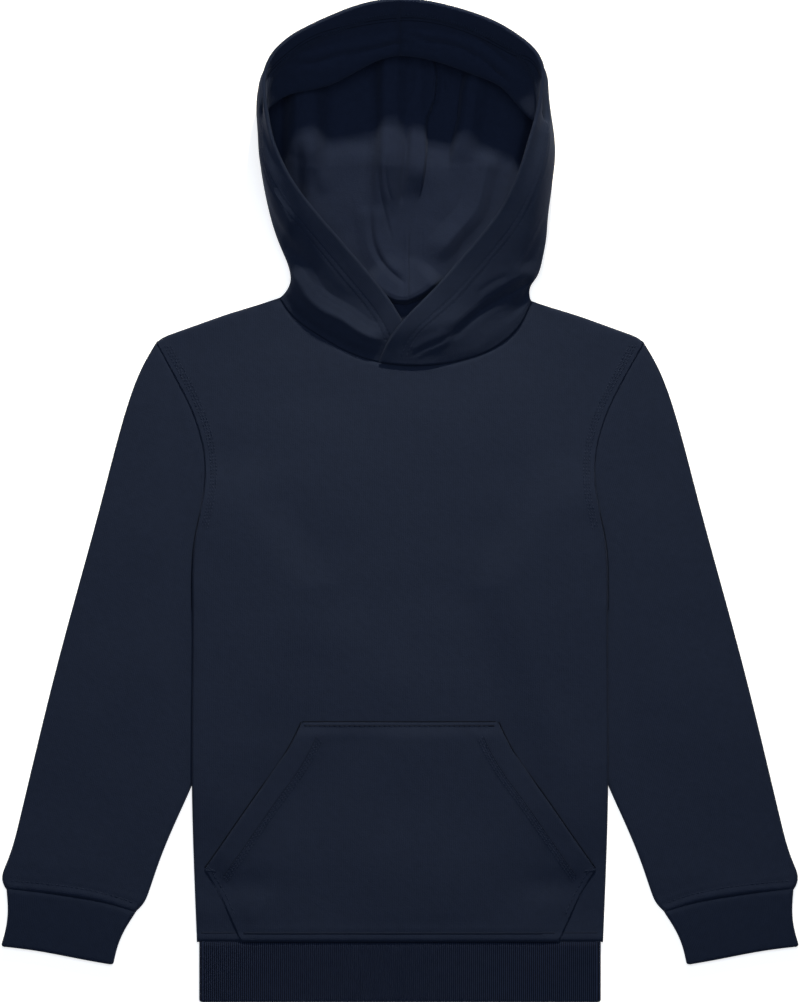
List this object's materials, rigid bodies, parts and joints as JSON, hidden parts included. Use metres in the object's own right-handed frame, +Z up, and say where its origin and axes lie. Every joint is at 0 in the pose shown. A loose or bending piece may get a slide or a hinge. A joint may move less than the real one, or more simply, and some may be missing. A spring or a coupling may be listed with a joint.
{
  "type": "toddler hoodie",
  "caption": "Child's pullover hoodie laid flat, front up, its hood standing open, with a kangaroo pocket and ribbed cuffs and waistband.",
  "frame": {"origin": "on the surface that the garment lies on, below the middle of its outline", "axes": "+Y from the hem to the top of the hood, +X to the viewer's right, +Z up from the surface"},
  "size_m": [0.48, 0.6012, 0.0672],
  "materials": {
    "fleece": "brushed sweatshirt jersey",
    "rib": "fine rib knit",
    "thread": "matt sewing thread"
  },
  "bodies": {
    "root": {"front": "fleece", "back": "fleece", "pocket": "fleece", "waistband": "rib", "sleeve_left": "fleece", "sleeve_right": "fleece", "cuff_left": "rib", "cuff_right": "rib", "hood_left": "fleece", "hood_right": "fleece"}
  },
  "joints": []
}
